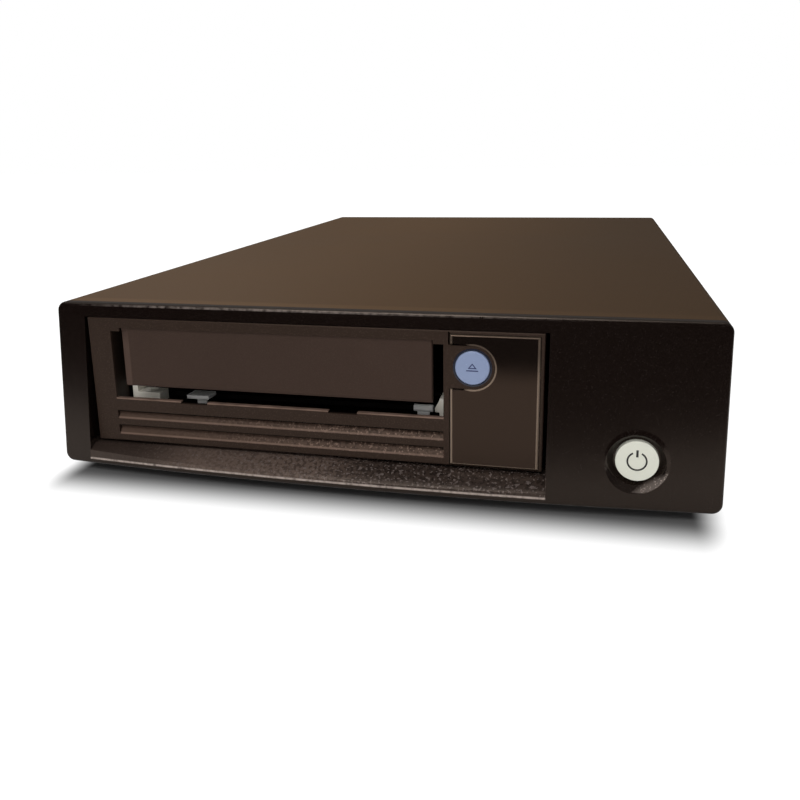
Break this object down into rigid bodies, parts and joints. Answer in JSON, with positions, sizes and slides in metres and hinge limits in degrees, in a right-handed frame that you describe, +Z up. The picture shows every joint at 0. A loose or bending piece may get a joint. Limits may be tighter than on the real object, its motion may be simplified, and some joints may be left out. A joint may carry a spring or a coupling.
{
  "type": "data tape drive",
  "caption": "Desktop data tape drive: dark metal case, leaning front with a cartridge slot and sprung door, smoked status lens, eject and power buttons.",
  "frame": {"origin": "centre of the footprint, on the surface that the feet stand on", "axes": "+Z up, +Y from the front to the rear panel, +X to the right seen from the front"},
  "size_m": [0.213, 0.3318, 0.058],
  "materials": {
    "cover_paint": "fine textured dark bronze-brown paint",
    "zinc_steel": "zinc plated sheet steel",
    "bezel_plastic": "warm black moulded plastic with a fine sparkle",
    "drive_plastic": "dark textured moulded plastic",
    "door_plastic": "satin dark brown-grey moulded plastic",
    "lens_plastic": "glossy smoked plastic",
    "button_plastic": "off-white satin plastic",
    "eject_plastic": "pale blue satin plastic",
    "collar_plastic": "dark blue plastic",
    "white_plastic": "white moulded plastic",
    "black_plastic": "black moulded plastic",
    "rubber_foot": "soft black rubber",
    "cast_metal": "cast aluminium",
    "steel_pin": "ground steel",
    "spring_steel": "drawn spring wire",
    "circuit": "green circuit board",
    "ferrite": "ferrite and yellow winding tape",
    "capacitor": "sleeved cans",
    "lamp": "clear green lamps",
    "screw_steel": "dark zinc screws",
    "lead_cover": "black lead covering",
    "cable_grey": "grey flat cable",
    "gear_plastic": "natural acetal",
    "motor_can": "drawn steel can",
    "copper_face": "metal connector shells"
  },
  "bodies": {
    "chassis": {"front_bezel": "bezel_plastic", "chassis_tray": "cover_paint", "top_cover": "cover_paint", "feet": "rubber_foot", "cover_screws": "screw_steel", "power_button_spring": "spring_steel", "power_switch": "black_plastic", "supply_board": "circuit", "supply_transformer": "ferrite", "supply_capacitors": "capacitor", "supply_heat_sinks": "cast_metal", "supply_screws": "screw_steel", "mains_inlet": "black_plastic", "inlet_screws": "screw_steel", "data_ports": "motor_can", "fan_frame": "black_plastic", "fan_screws": "screw_steel", "drive_brackets": "zinc_steel", "bracket_screws": "screw_steel", "data_cable": "cable_grey", "power_leads": "lead_cover", "drive_base": "cast_metal", "drive_cover": "zinc_steel", "drive_cover_screws": "screw_steel", "drive_bezel": "drive_plastic", "status_lens": "lens_plastic", "status_lamps": "lamp", "front_board": "circuit", "eject_collar": "collar_plastic", "eject_spring": "spring_steel", "eject_switch": "black_plastic", "door_springs": "spring_steel", "cartridge_guides": "white_plastic", "entry_fittings": "steel_pin", "loader_shaft": "steel_pin", "loader_motor": "motor_can", "reel_motor": "motor_can", "take_up_motor": "motor_can", "roller_posts": "steel_pin", "head_actuator": "cast_metal", "arm_post": "steel_pin", "main_board": "circuit", "drive_connectors": "black_plastic"},
    "door": {"cartridge_door": "door_plastic", "door_pin": "steel_pin"},
    "eject_button": {"eject_button": "eject_plastic"},
    "power_button": {"power_button": "button_plastic"},
    "fan_rotor": {"fan_rotor": "black_plastic"},
    "reel_hub": {"reel_hub": "white_plastic"},
    "take_up_reel": {"take_up_reel": "cast_metal"},
    "loader_slider": {"loader_slider": "gear_plastic"},
    "cartridge_tray": {"cartridge_tray": "cast_metal"},
    "loader_gear": {"loader_gear": "gear_plastic"},
    "motor_pinion": {"motor_pinion": "copper_face"},
    "head_block": {"head_block": "steel_pin"},
    "threading_arm": {"threading_arm": "cast_metal"},
    "guide_roller_1": {"guide_roller_1": "steel_pin"},
    "guide_roller_2": {"guide_roller_2": "steel_pin"},
    "guide_roller_3": {"guide_roller_3": "steel_pin"},
    "guide_roller_4": {"guide_roller_4": "steel_pin"}
  },
  "joints": [
    {"name": "door_swing", "type": "hinge", "parent": "chassis", "child": "door", "pos_m": [-0.0305, -0.1555, 0.0502], "axis": [1, 0, 0], "range_deg": [0, 88], "stiffness_Nm_per_rad": 0.002, "springref_deg": -17.19},
    {"name": "eject_press", "type": "slide", "parent": "chassis", "child": "eject_button", "axis": [0, 1, 0], "range_m": [0, 0.0015], "stiffness_N_per_m": 400, "springref_m": -0.001, "deforming": ["eject_spring"]},
    {"name": "power_press", "type": "slide", "parent": "chassis", "child": "power_button", "axis": [0, 1, 0], "range_m": [0, 0.0022], "stiffness_N_per_m": 400, "springref_m": -0.001, "deforming": ["power_button_spring"]},
    {"name": "fan_spin", "type": "hinge", "parent": "chassis", "child": "fan_rotor", "pos_m": [-0.045, 0.157, 0.0305], "axis": [0, 1, 0], "continuous": true},
    {"name": "hub_spin", "type": "hinge", "parent": "chassis", "child": "reel_hub", "pos_m": [-0.0305, -0.0948, 0.021], "axis": [0, 0, 1], "continuous": true},
    {"name": "take_up_spin", "type": "hinge", "parent": "chassis", "child": "take_up_reel", "pos_m": [-0.0305, 0.002, 0.029], "axis": [0, 0, 1], "continuous": true},
    {"name": "loader_slide", "type": "slide", "parent": "chassis", "child": "loader_slider", "axis": [0, 1, 0], "range_m": [0, 0.014]},
    {"name": "tray_lift", "type": "slide", "parent": "chassis", "child": "cartridge_tray", "axis": [0, 0, 1], "range_m": [-0.004, 0]},
    {"name": "gear_turn", "type": "hinge", "parent": "chassis", "child": "loader_gear", "pos_m": [0.0336, -0.095, 0.03], "axis": [0, 0, 1], "range_deg": [-115, 0]},
    {"name": "pinion_turn", "type": "hinge", "parent": "chassis", "child": "motor_pinion", "pos_m": [0.0336, -0.08285, 0.037], "axis": [0, 0, 1], "range_deg": [0, 345]},
    {"name": "head_step", "type": "slide", "parent": "chassis", "child": "head_block", "axis": [0, 0, 1], "range_m": [-0.003, 0.003]},
    {"name": "arm_swing", "type": "hinge", "parent": "chassis", "child": "threading_arm", "pos_m": [0.03, -0.02, 0.041], "axis": [0, 0, 1], "range_deg": [-38, 0]},
    {"name": "roller_1_spin", "type": "hinge", "parent": "chassis", "child": "guide_roller_1", "pos_m": [0.036, -0.038, 0.029], "axis": [0, 0, 1], "continuous": true},
    {"name": "roller_2_spin", "type": "hinge", "parent": "chassis", "child": "guide_roller_2", "pos_m": [0.0415, -0.017, 0.029], "axis": [0, 0, 1], "continuous": true},
    {"name": "roller_3_spin", "type": "hinge", "parent": "chassis", "child": "guide_roller_3", "pos_m": [0.0415, 0.021, 0.029], "axis": [0, 0, 1], "continuous": true},
    {"name": "roller_4_spin", "type": "hinge", "parent": "chassis", "child": "guide_roller_4", "pos_m": [0.034, 0.035, 0.029], "axis": [0, 0, 1], "continuous": true}
  ],
  "couplings": [
    {"joint": "tray_lift", "follows": "loader_slide", "ratio": -0.28571},
    {"joint": "gear_turn", "follows": "loader_slide", "rad_per_m": -142.86},
    {"joint": "pinion_turn", "follows": "loader_slide", "rad_per_m": 428.57}
  ]
}
